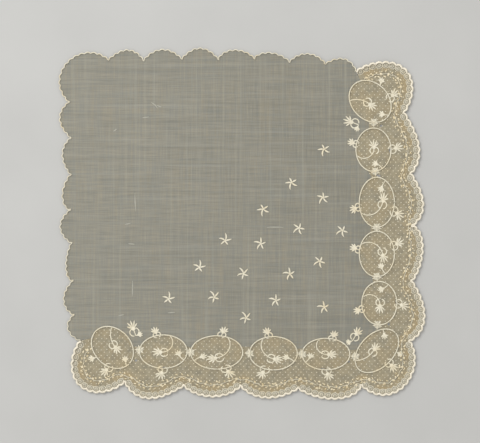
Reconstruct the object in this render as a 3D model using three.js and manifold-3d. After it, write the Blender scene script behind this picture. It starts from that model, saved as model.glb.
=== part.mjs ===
// A square lace handkerchief lying flat: a fine lawn centre with scalloped, corded edges on two
// sides, an L-shaped border of net with a roundel edging on the other two, eleven corded
// medallions sewn over the seam between them, three loose corner sprays and a scatter of sprigs.
// Millimetres, +Z up, +X right and +Y towards the plain top edge. The cloth rests on z = 0.
import * as THREE from 'three';
import { mergeVertices } from 'three/addons/utils/BufferGeometryUtils.js';
import Module from 'manifold-3d';

const wasm = await Module();
wasm.setup();

// Sizes of the sheets.
const CLOTH_THICKNESS = 1.1;
const PIECE_GAP = 0.3;
const SLAB_SIDE = 452;
const SLAB_CELLS = 16;

// Sizes of what is sewn on.
const MOTIF_THICKNESS = 0.6;
const CORD_WIDTH = 1.7;
const STEM_WIDTH = 1.2;
const LEAF_WIDTH = 2.4;
const HOOK_WIDTH = 2.6;
const LEAF_ROOT = 0.9;
const KNOT_RADIUS = 1.0;

// Small scallops run along every lobe of the outline.
const LACE_SCALLOP = { pitch: 8.4, depth: 1.2, steps: 3 };
const LAWN_SCALLOP = { pitch: 7.6, depth: 0.9, steps: 2 };

const COLOURS = { lawn: 0x96948a, net: 0xa09376, applique: 0xe8e1c8 };

// Turns rows of values into objects with the named columns.
function table(columns, rows) {
  const names = columns.split(' ');
  return rows.map((row) => Object.fromEntries(names.map((name, index) => [name, row[index]])));
}

// ---------------------------------------------------------------------------
// The way the cloth lies: flat below, with soft ridges and troughs on top.
// Each row is a ridge centred on x, y, turned from +X, with its reach along and across.
const RIPPLES = table('x y turn along across rise', [
  [116.9, 133, -8, 60, 19, 0.35],
  [110.9, 99, -6, 75, 17, -0.25],
  [108.9, 69, -10, 70, 18, 0.3],
  [58.9, 121, -4, 80, 22, 0.2],
  [116.9, -105, 12, 55, 18, 0.35],
  [-169.1, 113, -7, 60, 20, 0.25],
  [-151.1, -59, 86, 90, 22, 0.2],
  [-41.1, 61, 88, 120, 26, 0.2],
  [-21.1, 179, 2, 150, 20, 0.25],
  [186.9, 61, 88, 60, 18, 0.3],
  [190.9, -99, 92, 60, 18, 0.35],
  [28.9, -179, 2, 80, 18, 0.3],
  [-111.1, -181, -3, 70, 18, 0.3],
]);

function smoothTop(x, y) {
  let height = CLOTH_THICKNESS;
  for (const ripple of RIPPLES) {
    const turn = THREE.MathUtils.degToRad(ripple.turn);
    const along = ((x - ripple.x) * Math.cos(turn) + (y - ripple.y) * Math.sin(turn)) / ripple.along;
    const across = ((y - ripple.y) * Math.cos(turn) - (x - ripple.x) * Math.sin(turn)) / ripple.across;
    height += ripple.rise * Math.exp(-along * along - across * across);
  }
  return height;
}

// The upper face is a grid of cells from the top left corner, each split along its diagonal.
const CELL = SLAB_SIDE / SLAB_CELLS;

function gridTop(column, row) {
  return smoothTop(column * CELL - SLAB_SIDE / 2, SLAB_SIDE / 2 - row * CELL);
}

function clothTop(x, y) {
  const column = Math.floor((x + SLAB_SIDE / 2) / CELL);
  const row = Math.floor((SLAB_SIDE / 2 - y) / CELL);
  const right = (x + SLAB_SIDE / 2) / CELL - column;
  const down = (SLAB_SIDE / 2 - y) / CELL - row;
  const upperRight = gridTop(column + 1, row);
  const lowerLeft = gridTop(column, row + 1);
  if (right + down < 1) {
    const corner = gridTop(column, row);
    return corner + right * (upperRight - corner) + down * (lowerLeft - corner);
  }
  const corner = gridTop(column + 1, row + 1);
  return corner + (1 - right) * (lowerLeft - corner) + (1 - down) * (upperRight - corner);
}

// ---------------------------------------------------------------------------
// The outline, clockwise from the top left corner. Each lobe starts at the cusp x, y and ends at
// the next row's. It rises outwards from its chord, highest at lean (0 to 1 along the chord);
// roundness 1 is a half ellipse and 2 a parabola.
const LOBES = table('x y rise lean roundness edge', [
  [-209, 147, 34, 0.48, 1, 'lawn'],
  [-162, 198, 12, 0.55, 1.7, 'lawn'],
  [-120, 197, 12, 0.5, 1.9, 'lawn'],
  [-74, 199, 13, 0.5, 1.9, 'lawn'],
  [-30, 198, 11, 0.45, 1.5, 'lawn'],
  [13, 199, 9, 0.45, 1.5, 'lawn'],
  [55, 195, 11, 0.5, 1.7, 'lawn'],
  [98, 193, 11, 0.55, 1.7, 'lawn'],
  [135, 184, 40, 0.55, 1.2, 'lace'],
  [193, 135, 13, 0.6, 1.6, 'lace'],
  [201, 62, 14, 0.6, 1.5, 'lace'],
  [202, -1, 13, 0.4, 1.5, 'lace'],
  [202, -67, 17, 0.6, 1.4, 'lace'],
  [199, -139, 36, 0.55, 1, 'lace'],
  [141, -192, 15, 0.4, 1.6, 'lace'],
  [66, -196, 13, 0.55, 1.6, 'lace'],
  [-3, -193, 13, 0.5, 1.6, 'lace'],
  [-71, -193, 18, 0.6, 1.5, 'lace'],
  [-142, -188, 40, 0.5, 1.2, 'lace'],
  [-196, -139, 11, 0.55, 1.6, 'lawn'],
  [-203, -108, 12, 0.45, 1.7, 'lawn'],
  [-204, -67, 8, 0.35, 1.5, 'lawn'],
  [-206, -22, 13, 0.5, 1.7, 'lawn'],
  [-207, 18, 10, 0.4, 1.5, 'lawn'],
  [-207, 60, 10, 0.55, 1.6, 'lawn'],
  [-207, 104, 12, 0.55, 1.7, 'lawn'],
]);
const LOBE_SAMPLES = 60;

// The large curve of one lobe, from cusp to cusp.
function lobeCurve(lobe, next) {
  const start = new THREE.Vector2(lobe.x, lobe.y);
  const end = new THREE.Vector2(next.x, next.y);
  const chord = end.clone().sub(start);
  const outward = new THREE.Vector2(-chord.y, chord.x).normalize();
  const skew = Math.log(lobe.lean) / Math.log(0.5);
  const points = [];
  for (let step = 0; step <= LOBE_SAMPLES; step += 1) {
    const angle = (Math.PI * step) / LOBE_SAMPLES;
    const along = ((1 - Math.cos(angle)) / 2) ** skew;
    const rise = lobe.rise * Math.sin(angle) ** lobe.roundness;
    points.push(start.clone().addScaledVector(chord, along).addScaledVector(outward, rise));
  }
  return points;
}

// The same curve with its small scallops, a few steps to each.
function scallopedLobe(lobe, next) {
  const curve = new THREE.SplineCurve(lobeCurve(lobe, next));
  curve.arcLengthDivisions = LOBE_SAMPLES * 2;
  const scallop = lobe.edge === 'lace' ? LACE_SCALLOP : LAWN_SCALLOP;
  const count = Math.round(curve.getLength() / scallop.pitch) * scallop.steps;
  const points = [];
  for (let step = 0; step < count; step += 1) {
    const tangent = curve.getTangentAt(step / count);
    const rise = scallop.depth * Math.sin((Math.PI * (step % scallop.steps)) / scallop.steps);
    const point = curve.getPointAt(step / count);
    points.push(point.add(new THREE.Vector2(-tangent.y, tangent.x).multiplyScalar(rise)));
  }
  return points;
}

const clothOutline = LOBES.flatMap((lobe, index) => scallopedLobe(lobe, LOBES[(index + 1) % LOBES.length]));

// ---------------------------------------------------------------------------
// Solids. A plate is a flat shape one unit thick, which is laid on the cloth once it is whole.
const PLATE = { depth: 1, bevelEnabled: false };
const PRISM_HEIGHT = 20;

function solid(geometry) {
  geometry.deleteAttribute('normal');
  geometry.deleteAttribute('uv');
  const merged = mergeVertices(geometry, 1e-4);
  const vertProperties = new Float32Array(merged.attributes.position.array);
  const triVerts = new Uint32Array(merged.index.array);
  return new wasm.Manifold(new wasm.Mesh({ numProp: 3, vertProperties, triVerts }));
}

function plate(outline, hole) {
  const shape = new THREE.Shape(outline);
  if (hole) shape.holes.push(new THREE.Path(hole));
  return solid(new THREE.ExtrudeGeometry(shape, PLATE));
}

// A tall upright prism of an outline, from its floor upwards.
function prism(outline, floor) {
  const settings = { depth: PRISM_HEIGHT, bevelEnabled: false };
  const geometry = new THREE.ExtrudeGeometry(new THREE.Shape(outline), settings);
  geometry.translate(0, 0, floor);
  return solid(geometry);
}

function cutter(outline) {
  return prism(outline, -PRISM_HEIGHT / 2);
}

function join(solids) {
  return solids.reduce((whole, next) => whole.add(next));
}

function geometryOf(manifold, place = (x, y, z) => z) {
  const mesh = manifold.getMesh();
  const positions = new Float32Array(mesh.vertProperties);
  for (let index = 0; index < positions.length; index += 3) {
    positions[index + 2] = place(positions[index], positions[index + 1], positions[index + 2]);
  }
  const geometry = new THREE.BufferGeometry();
  geometry.setAttribute('position', new THREE.BufferAttribute(positions, 3));
  geometry.setIndex(new THREE.BufferAttribute(new Uint32Array(mesh.triVerts), 1));
  geometry.computeVertexNormals();
  return geometry;
}

// Lays a plate on the cloth: its two faces follow the cloth's upper face.
function laidOnCloth(manifold) {
  return geometryOf(manifold, (x, y, z) => clothTop(x, y) + PIECE_GAP + (z > 0.5 ? MOTIF_THICKNESS : 0));
}

// ---------------------------------------------------------------------------
// Strokes of the needlework, each a plate on the flat.
function offsetLoop(points, distance) {
  return points.map((point, index) => {
    const before = points[(index + points.length - 1) % points.length];
    const after = points[(index + 1) % points.length];
    const tangent = after.clone().sub(before).normalize();
    return point.clone().add(new THREE.Vector2(tangent.y, -tangent.x).multiplyScalar(distance));
  });
}

function cordLoop(points) {
  return plate(offsetLoop(points, CORD_WIDTH / 2), offsetLoop(points, -CORD_WIDTH / 2));
}

// Across a line at its point number index, half as long as the line is wide there.
function across(points, index, half) {
  const point = points[index];
  const arriving = point.clone().sub(points[index - 1] ?? point).normalize();
  const leaving = (points[index + 1] ?? point).clone().sub(point).normalize();
  const along = arriving.add(leaving).normalize();
  return new THREE.Vector2(-along.y, along.x).multiplyScalar(half);
}

function stem(points) {
  const line = new THREE.SplineCurve(points).getPoints(points.length === 2 ? 1 : points.length);
  const left = line.map((point, index) => point.clone().add(across(line, index, STEM_WIDTH / 2)));
  const right = line.map((point, index) => point.clone().sub(across(line, index, STEM_WIDTH / 2)));
  return plate([...left, ...right.reverse()]);
}

// A leaf comes to a point at both ends and is widest at its middle, where it may bend. Its root
// is sunk a little into what it grows from.
function bentLeaf(base, middle, tip, width) {
  const side = across([base, middle, tip], 1, width / 2);
  const root = base.clone().sub(middle.clone().sub(base).setLength(LEAF_ROOT));
  return plate([root, middle.clone().sub(side), tip, middle.clone().add(side)]);
}

function leaf(base, tip) {
  return bentLeaf(base, base.clone().lerp(tip, 0.45), tip, LEAF_WIDTH);
}

function hook(base, bend, tip) {
  return bentLeaf(base, bend, tip, HOOK_WIDTH);
}

// A star of leaves round one middle, listed in turn; its outline comes back to the knot between them.
function rosette(leaves, { x, y, turn }) {
  const middle = new THREE.Vector2();
  const bends = leaves.map((row) => new THREE.Vector2(row.bendX, row.bendY));
  const outline = leaves.flatMap((row, index) => {
    const bend = bends[index];
    const tip = new THREE.Vector2(row.tipX, row.tipY);
    const side = across([middle, bend, tip], 1, LEAF_WIDTH / 2);
    const next = bends[(index + 1) % bends.length];
    const notch = bend.clone().normalize().add(next.clone().normalize()).setLength(KNOT_RADIUS);
    return [bend.clone().sub(side), tip, bend.clone().add(side), notch];
  });
  const angle = THREE.MathUtils.degToRad(turn);
  return plate(outline.map((point) => point.rotateAround(middle, angle).add({ x, y })));
}

const BUD_SIDES = 6;

function bud(centre, radius) {
  return plate(new THREE.EllipseCurve(centre.x, centre.y, radius, radius).getPoints(BUD_SIDES).slice(0, BUD_SIDES));
}

// ---------------------------------------------------------------------------
// The loops of the medallions and the sprays. Places are measured from the middle of a medallion:
// out is towards the lace edge and along is towards the free corner of that side. A loop is an
// ellipse with its long half and cross half, its first axis turned by turn, its middle moved.
const LOOPS = {
  oval: { long: 21, cross: 26, turn: 0, out: 0, along: 0 },
  end: { long: 28, cross: 22, turn: -45, out: 0, along: 0 },
  corner: { long: 31, cross: 20, turn: 45, out: 2, along: -4 },
};

function ahead({ out, along }, heading, reach) {
  const angle = THREE.MathUtils.degToRad(heading);
  return { out: out + reach * Math.cos(angle), along: along + reach * Math.sin(angle) };
}

function onLoop({ long, cross, turn, out, along }, around) {
  const angle = THREE.MathUtils.degToRad(around);
  const first = ahead({ out, along }, turn, long * Math.cos(angle));
  return ahead(first, turn + 90, cross * Math.sin(angle));
}

// A branch is an evenly turning stem with a flower at its end: a bud, a fan of three leaves and,
// on a large flower, a hook back at each side.
const FLOWER = { bud: 2.8, leaf: 9, spread: 38, hookBend: 6, hookTip: 7.5, hookOut: 75, hookBack: 125 };
const LARGE_FLOWER = 0.9;
const ARC_STEPS = 3;

function branch(root, { heading, length, turn, size }) {
  const line = [root];
  for (let step = 0; step < ARC_STEPS; step += 1) {
    line.push(ahead(line[step], heading + (turn * (step + 0.5)) / ARC_STEPS, length / ARC_STEPS));
  }
  const end = line[ARC_STEPS];
  const facing = heading + turn;
  const leaves = [-1, 0, 1].map((way) => [end, ahead(end, facing + way * FLOWER.spread, FLOWER.leaf * size)]);
  const hooks = (size < LARGE_FLOWER ? [] : [-1, 1]).map((way) => [
    end,
    ahead(end, facing + way * FLOWER.hookOut, FLOWER.hookBend * size),
    ahead(end, facing + way * FLOWER.hookBack, FLOWER.hookTip * size),
  ]);
  return { line, bud: { end, radius: FLOWER.bud * size }, leaves, hooks };
}

// Every branch of a medallion's spray is rooted on its loop, at around.
const branchColumns = 'around heading length turn size';
const SPRAYS = {
  oval: table(branchColumns, [[195, -45, 30, 140, 1], [0, 20, 6, 0, 1], [165, 160, 4, 0, 0.8], [300, 120, 8, 40, 0.7]]),
  tall: table(branchColumns, [[205, -30, 34, 110, 1], [340, -30, 5, 0, 1], [190, 200, 5, 0, 0.8], [60, 220, 8, 30, 0.7]]),
  end: table(branchColumns, [[230, 20, 26, -60, 1], [60, 45, 5, 0, 1], [100, 75, 4, 0, 0.7], [10, 170, 6, 0, 0.7]]),
  corner: table(branchColumns, [[150, 0, 28, 60, 1], [270, -45, 5, 0, 1], [300, -30, 3, 0, 0.6], [40, -80, 6, 0, 0.7]]),
};
// The loose sprays lie on the lawn beside the corner medallions, two branches from one root.
const looseColumns = 'out along heading length turn size';
const LOOSE = {
  end: table(looseColumns, [[-14, -28, 160, 9, 0, 1.1], [-14, -28, 250, 3, 0, 0.6]]),
  corner: table(looseColumns, [[-27, 8, 60, 9, 0, 1], [-27, 8, 200, 3, 0, 0.6]]),
};

// Places a spray's points on the cloth, stretched to its medallion. The lower side's sprays are
// those of the right side turned over the diagonal, and flip turns a spray end for end.
function placer({ x, y, side, flip, outScale = 1, alongScale = 1 }) {
  return (out, along) => (side === 'right'
    ? new THREE.Vector2(x + outScale * out, y + flip * alongScale * along)
    : new THREE.Vector2(x - flip * alongScale * along, y - outScale * out));
}

function branchPlates({ line, bud: { end, radius }, leaves, hooks }, at) {
  const placed = (point) => at(point.out, point.along);
  return [
    stem(line.map(placed)),
    bud(placed(end), radius),
    ...leaves.map(([base, tip]) => leaf(placed(base), placed(tip))),
    ...hooks.map((points) => hook(...points.map(placed))),
  ];
}

// ---------------------------------------------------------------------------
// The medallions, from the top of the right side, round the corner, to the end of the lower side.
// The scales stretch a medallion's loop and spray alike; a tall one has the loop of an oval.
const MEDALLIONS = table('name kind side flip x y outScale alongScale', [
  ['medallion_01', 'end', 'right', 1, 152, 148, 1, 1],
  ['medallion_02', 'oval', 'right', 1, 156, 90, 1, 1],
  ['medallion_03', 'tall', 'right', 1, 160, 27, 1, 1.15],
  ['medallion_04', 'tall', 'right', -1, 160, -35, 1, 1.05],
  ['medallion_05', 'oval', 'right', -1, 163, -94, 1, 1],
  ['medallion_06', 'corner', 'right', 1, 158, -147, 1, 1],
  ['medallion_07', 'oval', 'lower', -1, 99, -155, 0.9, 1.1],
  ['medallion_08', 'tall', 'lower', -1, 36, -154, 0.95, 1.1],
  ['medallion_09', 'tall', 'lower', 1, -32, -153, 0.95, 1.2],
  ['medallion_10', 'oval', 'lower', 1, -96, -152, 0.95, 1.1],
  ['medallion_11', 'end', 'lower', 1, -157, -147, 1, 1],
]);
const CORD_STEPS = 18;

// An even star of leaves, for the joins between medallions and for the sprigs.
function starLeaves(columns) {
  return columns.map(({ heading, bend, lean, tip }) => {
    const middle = ahead({ out: 0, along: 0 }, heading, bend);
    const end = ahead({ out: 0, along: 0 }, heading + lean, tip);
    return { bendX: middle.out, bendY: middle.along, tipX: end.out, tipY: end.along };
  });
}
const starColumns = 'heading bend lean tip';
const JOINT_LEAVES = starLeaves(table(starColumns, [
  [0, 3.4, 0, 7.5], [72, 2.6, 0, 5.5], [144, 2.6, 0, 5.5], [216, 2.6, 0, 5.5], [288, 2.6, 0, 5.5],
]));

function cordLine(medallion) {
  const at = placer(medallion);
  const loop = LOOPS[medallion.kind] ?? LOOPS.oval;
  const line = [];
  for (let step = 0; step < CORD_STEPS; step += 1) {
    const { out, along } = onLoop(loop, (360 * step) / CORD_STEPS);
    line.push(at(out, along));
  }
  return THREE.ShapeUtils.isClockWise(line) ? line.reverse() : line;
}

// A join is where a medallion's cord comes nearest to the middle of the next medallion.
const JOINS = MEDALLIONS.slice(1).map((next, index) => {
  const middle = new THREE.Vector2(next.x, next.y);
  const line = cordLine(MEDALLIONS[index]);
  const [nearest] = line.sort((a, b) => a.distanceTo(middle) - b.distanceTo(middle));
  const turn = THREE.MathUtils.radToDeg(Math.atan2(middle.y - nearest.y, middle.x - nearest.x));
  return { x: nearest.x, y: nearest.y, turn };
});

function medallionGeometry(medallion, index) {
  const at = placer(medallion);
  const loop = LOOPS[medallion.kind] ?? LOOPS.oval;
  const strokes = SPRAYS[medallion.kind].flatMap((row) => branchPlates(branch(onLoop(loop, row.around), row), at));
  const star = JOINS[index] ? [rosette(JOINT_LEAVES, JOINS[index])] : [];
  let whole = join([cordLoop(cordLine(medallion)), ...strokes, ...star]);
  for (const neighbour of [MEDALLIONS[index - 1], MEDALLIONS[index + 1]]) {
    if (neighbour) whole = whole.subtract(cutter(offsetLoop(cordLine(neighbour), CORD_WIDTH / 2 + PIECE_GAP)));
  }
  return laidOnCloth(whole);
}

// ---------------------------------------------------------------------------
// The two sheets. The net reaches in under every medallion's cord and, between the medallions,
// to a seam through the joins between them; the lawn is all the rest of the outline.
const firstLace = LOBES.findIndex((lobe) => lobe.edge === 'lace');
const lastLace = LOBES.findLastIndex((lobe) => lobe.edge === 'lace');
const SEAM = [LOBES[firstLace], ...JOINS, LOBES[lastLace + 1]];
const BEYOND = SLAB_SIDE;

function netPlan(clearance) {
  const seam = SEAM.map((point) => new THREE.Vector2(point.x - clearance, point.y + clearance));
  const first = seam[0];
  const last = seam[seam.length - 1];
  const zone = [
    new THREE.Vector2(first.x, BEYOND), ...seam,
    new THREE.Vector2(-BEYOND, last.y), new THREE.Vector2(-BEYOND, -BEYOND),
    new THREE.Vector2(BEYOND, -BEYOND), new THREE.Vector2(BEYOND, BEYOND),
  ];
  const rounds = MEDALLIONS.map((medallion) => cutter(offsetLoop(cordLine(medallion), clearance)));
  return join([cutter(zone), ...rounds]);
}

function clothSheet() {
  const geometry = new THREE.BoxGeometry(SLAB_SIDE, SLAB_SIDE, 2, SLAB_CELLS, SLAB_CELLS, 1);
  const positions = geometry.attributes.position;
  for (let index = 0; index < positions.count; index += 1) {
    const top = positions.getZ(index) > 0;
    positions.setZ(index, top ? smoothTop(positions.getX(index), positions.getY(index)) : -1);
  }
  return solid(geometry).intersect(prism(clothOutline, 0));
}

// ---------------------------------------------------------------------------
// The sprigs on the lawn: five leaves round one middle, some of them bent, each sprig turned its way.
const SPRIGS = table('x y turn', [
  [97, 91, 135], [58, 51, 135], [96, 33, 115], [24, 19, 138], [67, -4, 95], [119, -7, 87],
  [-22, -19, -36], [21, -23, 40], [92, -44, 87], [-53, -51, -38], [56, -59, 50], [0, -59, 0],
  [-35, -87, 0], [-90, -89, -36], [39, -91, 40], [97, -99, 50], [3, -112, 0],
]);
const SPRIG_LEAVES = starLeaves(table(starColumns, [
  [50, 4, 5, 8], [115, 5, 30, 8], [185, 4, 30, 7], [255, 3, 0, 6.5], [340, 3, 10, 6],
]));

// ---------------------------------------------------------------------------
// The handkerchief.
function clothMaterial(name, roughness) {
  return new THREE.MeshStandardMaterial({ color: COLOURS[name], roughness, metalness: 0 });
}

function piece(name, geometry, material) {
  const mesh = new THREE.Mesh(geometry, material);
  mesh.name = name;
  return mesh;
}

const handkerchief = new THREE.Group();
const lawnMaterial = clothMaterial('lawn', 0.9);
const netMaterial = clothMaterial('net', 0.95);
const sheet = clothSheet();
handkerchief.add(piece('lawn', geometryOf(sheet.subtract(netPlan(PIECE_GAP / 2))), lawnMaterial));
handkerchief.add(piece('lace_border', geometryOf(sheet.intersect(netPlan(-PIECE_GAP / 2))), netMaterial));

MEDALLIONS.forEach((medallion, index) => {
  handkerchief.add(piece(medallion.name, medallionGeometry(medallion, index), clothMaterial('applique', 0.85)));
});

const LOOSE_SPRAYS = [
  ['corner_spray_01', LOOSE.end, MEDALLIONS[0]],
  ['corner_spray_02', LOOSE.corner, MEDALLIONS[5]],
  ['corner_spray_03', LOOSE.end, MEDALLIONS[10]],
];
for (const [name, spray, medallion] of LOOSE_SPRAYS) {
  const strokes = spray.flatMap((row) => branchPlates(branch(row, row), placer(medallion)));
  const geometry = laidOnCloth(join(strokes));
  handkerchief.add(piece(name, geometry, clothMaterial('applique', 0.85)));
}

SPRIGS.forEach((sprig, index) => {
  const name = `sprig_${String(index + 1).padStart(2, '0')}`;
  handkerchief.add(piece(name, laidOnCloth(rosette(SPRIG_LEAVES, sprig)), clothMaterial('applique', 0.85)));
});

export default handkerchief;
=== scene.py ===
"""A square lace handkerchief laid flat: sheer lawn, a border of dotted net, and corded needlework.

Shapes are worked out in millimetres on the flat, X to the right and Y to the plain top edge, laid
on the lie of the cloth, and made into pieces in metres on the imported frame.
"""

import math

import bmesh
import bpy
import numpy as np
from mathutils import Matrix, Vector
from mathutils.geometry import delaunay_2d_cdt


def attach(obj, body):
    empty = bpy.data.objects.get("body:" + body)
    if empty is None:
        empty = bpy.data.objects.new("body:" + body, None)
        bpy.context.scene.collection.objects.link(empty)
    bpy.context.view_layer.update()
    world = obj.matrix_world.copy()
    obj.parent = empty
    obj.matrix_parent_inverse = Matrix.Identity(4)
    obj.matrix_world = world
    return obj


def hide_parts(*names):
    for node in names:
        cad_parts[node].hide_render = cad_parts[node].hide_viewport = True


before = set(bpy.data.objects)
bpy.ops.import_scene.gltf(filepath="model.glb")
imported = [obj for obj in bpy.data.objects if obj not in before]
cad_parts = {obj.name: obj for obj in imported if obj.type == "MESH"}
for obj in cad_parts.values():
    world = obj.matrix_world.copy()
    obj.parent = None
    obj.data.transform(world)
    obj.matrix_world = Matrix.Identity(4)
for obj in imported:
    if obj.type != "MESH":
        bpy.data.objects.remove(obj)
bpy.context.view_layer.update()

# ---------------------------------------------------------------------------
# Camera. A copy stand: the camera hangs straight over the cloth, its long side across.
# The view is VIEW_WIDTH wide at the table, and VIEW_CENTRE is the point under the lens.
VIEW_WIDTH = 0.576
VIEW_CENTRE = (-0.0041, 0.0040)
LENS_LENGTH, SENSOR_WIDTH = 120, 36

camera_data = bpy.data.cameras.new("copy_camera")
camera_data.lens = LENS_LENGTH
camera_data.sensor_width = SENSOR_WIDTH
camera = bpy.data.objects.new("copy_camera", camera_data)
camera.location = (*VIEW_CENTRE, VIEW_WIDTH * LENS_LENGTH / SENSOR_WIDTH)
bpy.context.scene.collection.objects.link(camera)
bpy.context.scene.camera = camera

# ---------------------------------------------------------------------------
# Light and table. One wide soft lamp from the upper left, an even pale room, and a plain pale
# table top that the cloth lies on.
LAMP_PLACE = (-1.35, 1.45, 2.1)
LAMP_SIDE = 1.5
LAMP_POWER = 47
ROOM_LIGHT = 0.85
TABLE_SIDE = 6.0
TABLE_DROP = 0.0002

bpy.context.scene.view_settings.view_transform = "Standard"

lamp_data = bpy.data.lights.new("soft_lamp", "AREA")
lamp_data.size = LAMP_SIDE
lamp_data.energy = LAMP_POWER
lamp = bpy.data.objects.new("soft_lamp", lamp_data)
lamp.location = LAMP_PLACE
lamp.rotation_euler = (-Vector(LAMP_PLACE)).to_track_quat("-Z", "Y").to_euler()
bpy.context.scene.collection.objects.link(lamp)

room = bpy.data.worlds.new("pale_room")
room.use_nodes = True
room.node_tree.nodes["Background"].inputs["Color"].default_value = (1.0, 0.99, 0.97, 1)
room.node_tree.nodes["Background"].inputs["Strength"].default_value = ROOM_LIGHT
bpy.context.scene.world = room


def linear(red, green, blue):
    """The linear colour of a paint chip read as three numbers from 0 to 255."""
    values = [channel / 255 for channel in (red, green, blue)]
    return (*[v / 12.92 if v <= 0.04045 else ((v + 0.055) / 1.055) ** 2.4 for v in values], 1)


def add_node(tree, kind, inputs=None, **settings):
    """Adds a node, with its settings, and its inputs set to values or joined to other sockets."""
    node = tree.nodes.new(kind)
    for name, value in settings.items():
        setattr(node, name, value)
    for socket, value in (inputs or {}).items():
        if isinstance(value, bpy.types.NodeSocket):
            tree.links.new(value, node.inputs[socket])
        else:
            node.inputs[socket].default_value = value
    return node


DULL_SHINE = 0.15


def new_material(name, roughness, alpha=1.0):
    material = bpy.data.materials.new(name)
    material.use_nodes = True
    shader = material.node_tree.nodes["Principled BSDF"]
    shader.inputs["Roughness"].default_value = roughness
    shader.inputs["Alpha"].default_value = alpha
    shader.inputs["Specular IOR Level"].default_value = DULL_SHINE
    return material, material.node_tree, shader


def noise(tree, scale, stretch=(1, 1, 1), detail=3.0, turn=0.0):
    """Noise of a scale per metre on the piece's own place, stretched and turned about Z."""
    place = add_node(tree, "ShaderNodeTexCoord").outputs["Object"]
    mapping = {"Vector": place, "Scale": stretch, "Rotation": (0, 0, math.radians(turn))}
    spread = add_node(tree, "ShaderNodeMapping", mapping)
    pattern = {"Vector": spread.outputs["Vector"], "Scale": scale, "Detail": detail}
    return add_node(tree, "ShaderNodeTexNoise", pattern).outputs["Fac"]


MIX_FACTOR, MIX_A, MIX_B, MIX_RESULT = 0, 6, 7, 2


def blend_colours(tree, factor, first, second):
    sockets = {MIX_FACTOR: factor, MIX_A: first, MIX_B: second}
    return add_node(tree, "ShaderNodeMix", sockets, data_type="RGBA").outputs[MIX_RESULT]


def math_of(tree, operation, first, second):
    return add_node(tree, "ShaderNodeMath", {0: first, 1: second}, operation=operation).outputs[0]


def window_of(tree, value, low, high):
    """Stretches the stretch of value from low to high over 0 to 1, and cuts the rest off."""
    sockets = {"Value": value, "From Min": low, "From Max": high}
    return add_node(tree, "ShaderNodeMapRange", sockets).outputs["Result"]


def two_tones(tree, scale, dark, pale, detail=2.0, span=(0.35, 0.65)):
    """A colour that drifts between two tones, in noise of a scale per metre."""
    tone = window_of(tree, noise(tree, scale, detail=detail), *span)
    return blend_colours(tree, tone, linear(*dark), linear(*pale))


def toned_material(name, roughness, *tones, alpha=1.0, **spread):
    """A material in two tones, with its tree and shader."""
    material, tree, shader = new_material(name, roughness, alpha)
    tree.links.new(two_tones(tree, *tones, **spread), shader.inputs["Base Color"])
    return material, tree, shader


def bump_on(tree, shader, height, distance, strength=1.0, under=None):
    """Raises the shading by a height, over another bump where there is one."""
    sockets = {"Height": height, "Distance": distance, "Strength": strength}
    if under:
        sockets["Normal"] = under
    bump = add_node(tree, "ShaderNodeBump", sockets).outputs["Normal"]
    tree.links.new(bump, shader.inputs["Normal"])
    return bump


STRAND_SCALE, STRAND_DEPTH = 1800.0, 0.0001


def strands_on(tree, shader):
    """Raises the shading of cotton by its fine strands."""
    bump_on(tree, shader, noise(tree, STRAND_SCALE), STRAND_DEPTH, 0.5)


def link_piece(name, mesh):
    piece = bpy.data.objects.new(name, mesh)
    bpy.context.scene.collection.objects.link(piece)
    return piece


table_material, *_ = toned_material(
    "pale_table", 0.85, 9.0, (180, 180, 178), (184, 184, 182), detail=3.0, span=(0.3, 0.7)
)

table_mesh = bpy.data.meshes.new("table_top")
half_table = TABLE_SIDE / 2
table_corners = [
    (x * half_table, y * half_table, -TABLE_DROP) for x, y in [(-1, -1), (1, -1), (1, 1), (-1, 1)]
]
table_mesh.from_pydata(table_corners, [], [(0, 1, 2, 3)])
table_mesh.materials.append(table_material)
table_top = link_piece("table_top", table_mesh)

# ---------------------------------------------------------------------------
# The lawn. One square of sheer, hand-spun linen lawn, its top and left edges cut in lobes.
# The threads are uneven: beige slubs run up the cloth and grey ones across it. It lies in soft
# ridges, and it is sewn to the net along the seam under the medallions.
MM = 0.001
SHEET_THICKNESS = 0.3
SHEET_HEIGHT = 1.0
RIPPLE_LIFT = 2.0
LAWN_GRID = 4.2

# Each row is a ridge centred on x, y, turned from +X, with its reach along and across, and rise.
RIPPLES = [
    (116.9, 133, -8, 60, 19, 0.35),
    (110.9, 99, -6, 75, 17, -0.25),
    (108.9, 69, -10, 70, 18, 0.3),
    (58.9, 121, -4, 80, 22, 0.2),
    (116.9, -105, 12, 55, 18, 0.35),
    (-169.1, 113, -7, 60, 20, 0.25),
    (-151.1, -59, 86, 90, 22, 0.2),
    (-41.1, 61, 88, 120, 26, 0.2),
    (-21.1, 179, 2, 150, 20, 0.25),
    (186.9, 61, 88, 60, 18, 0.3),
    (190.9, -99, 92, 60, 18, 0.35),
    (28.9, -179, 2, 80, 18, 0.3),
    (-111.1, -181, -3, 70, 18, 0.3),
    (70, 9.5, -3, 55, 3.2, -0.36),
    (92, 1.5, -1, 45, 3.2, -0.3),
    (84, 43, -12, 24, 3.6, 0.32),
    (126, 68, -20, 20, 5, 0.32),
    (92, -8, 0, 20, 4, 0.28),
    (109, 110, -6, 24, 4, -0.35),
    (96, 150, -12, 30, 4, 0.28),
    (123, -72, -6, 26, 4, -0.35),
    (84, -86, 10, 36, 3.8, 0.26),
    (30, 3, 0, 22, 3.2, 0.24),
    (-102, -42, -5, 42, 4, 0.28),
    (-120, 96, -4, 46, 3.8, 0.26),
    (-60, 118, 3, 38, 3.6, -0.24),
    (-150, 60, 80, 34, 3.6, 0.22),
    (-20, 150, 5, 44, 4, 0.22),
]


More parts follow.
